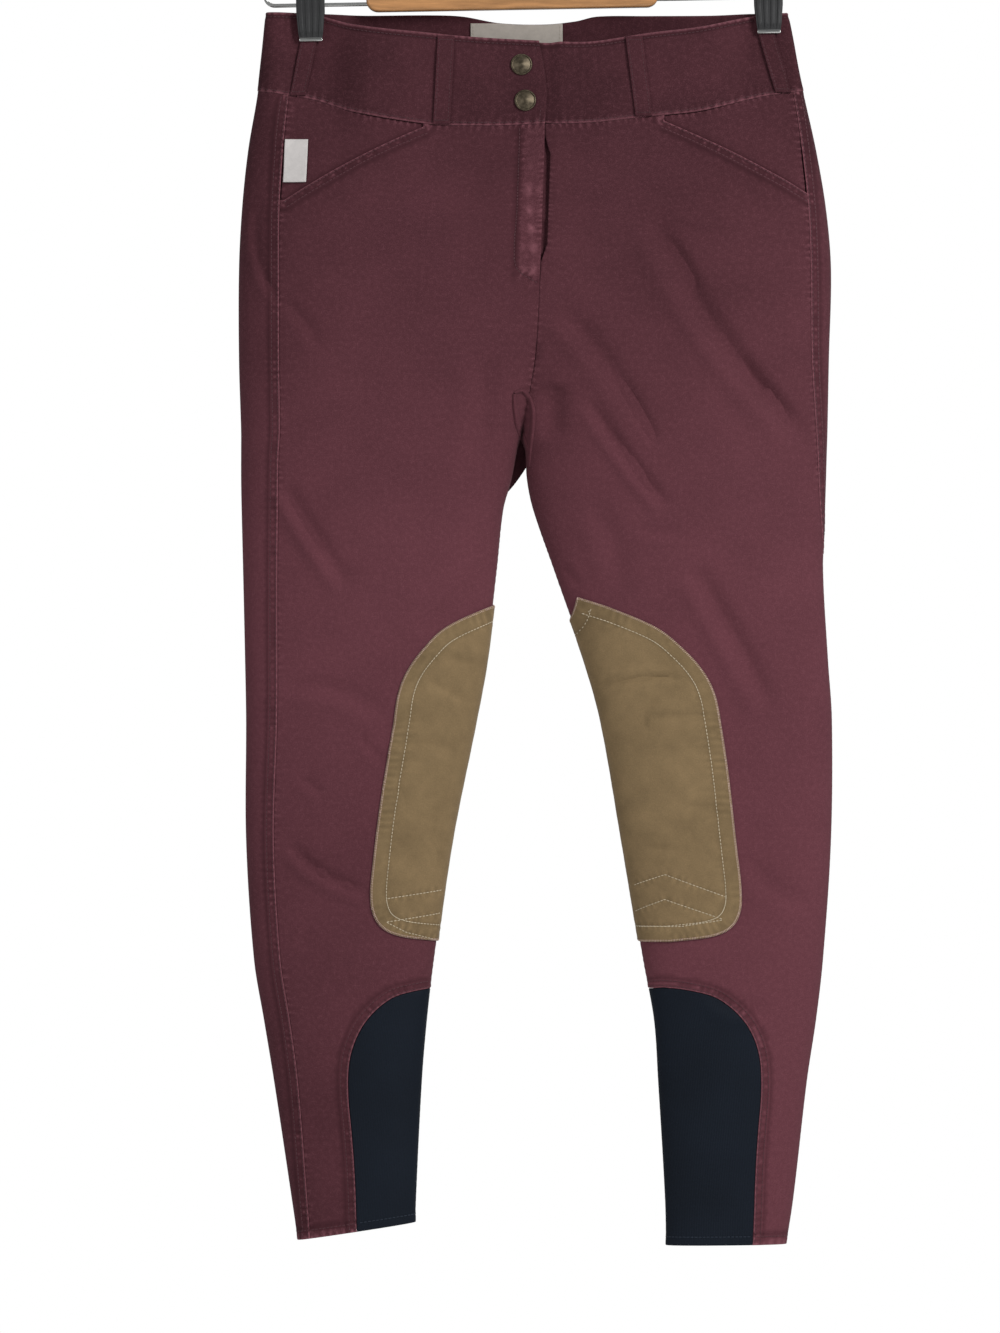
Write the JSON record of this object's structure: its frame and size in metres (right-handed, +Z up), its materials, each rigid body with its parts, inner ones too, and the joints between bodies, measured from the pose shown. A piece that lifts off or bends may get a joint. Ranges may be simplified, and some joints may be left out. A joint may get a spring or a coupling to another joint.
{
  "type": "riding breeches on a clip hanger",
  "caption": "Riding breeches with snap-closed waistband, slanted pockets, suede knee patches and stretch lower-leg panels, hung by clips from a wooden bar hanger.",
  "frame": {"origin": "top of the inside of the hanger's hook, where it hangs on a rail", "axes": "+Z up, +X to the wearer's left, -Y to the front of the garment"},
  "size_m": [0.4502, 0.0693, 1.0509],
  "materials": {
    "cloth": "burgundy stretch cotton twill, matt",
    "suede": "tan suede, brushed",
    "stretch": "black-navy smooth stretch knit",
    "tab": "off-white woven label, bare",
    "label": "off-white woven label, bare",
    "snap": "antique brass, worn",
    "wood": "clear-varnished light wood",
    "steel": "bright chromed steel",
    "grip": "black ribbed plastic"
  },
  "bodies": {
    "root": {"front_right_hip": "cloth", "front_right_thigh": "cloth", "front_right_shin": "cloth", "front_left_hip": "cloth", "front_left_thigh": "cloth", "front_left_shin": "cloth", "back_right_hip": "cloth", "back_right_thigh": "cloth", "back_right_shin": "cloth", "back_left_hip": "cloth", "back_left_thigh": "cloth", "back_left_shin": "cloth", "knee_patch_right": "suede", "knee_patch_left": "suede", "calf_panel_right": "stretch", "calf_panel_left": "stretch", "pocket_facing_right": "cloth", "pocket_facing_left": "cloth", "waistband_front_right": "cloth", "waistband_front_left": "cloth", "waistband_back": "cloth", "belt_loop_side_right": "cloth", "belt_loop_front_right": "cloth", "belt_loop_front_left": "cloth", "belt_loop_side_left": "cloth", "belt_loop_back": "cloth", "snap_upper": "snap", "snap_lower": "snap", "fly_shield": "cloth", "side_label": "tab", "back_label": "label", "hanger_bar": "wood", "hanger_hook": "steel", "hanger_arm_right": "steel", "hanger_arm_left": "steel", "clip_right_jaws": "steel", "clip_right_grip_front": "grip", "clip_right_grip_back": "grip", "clip_left_jaws": "steel", "clip_left_grip_front": "grip", "clip_left_grip_back": "grip"}
  },
  "joints": []
}
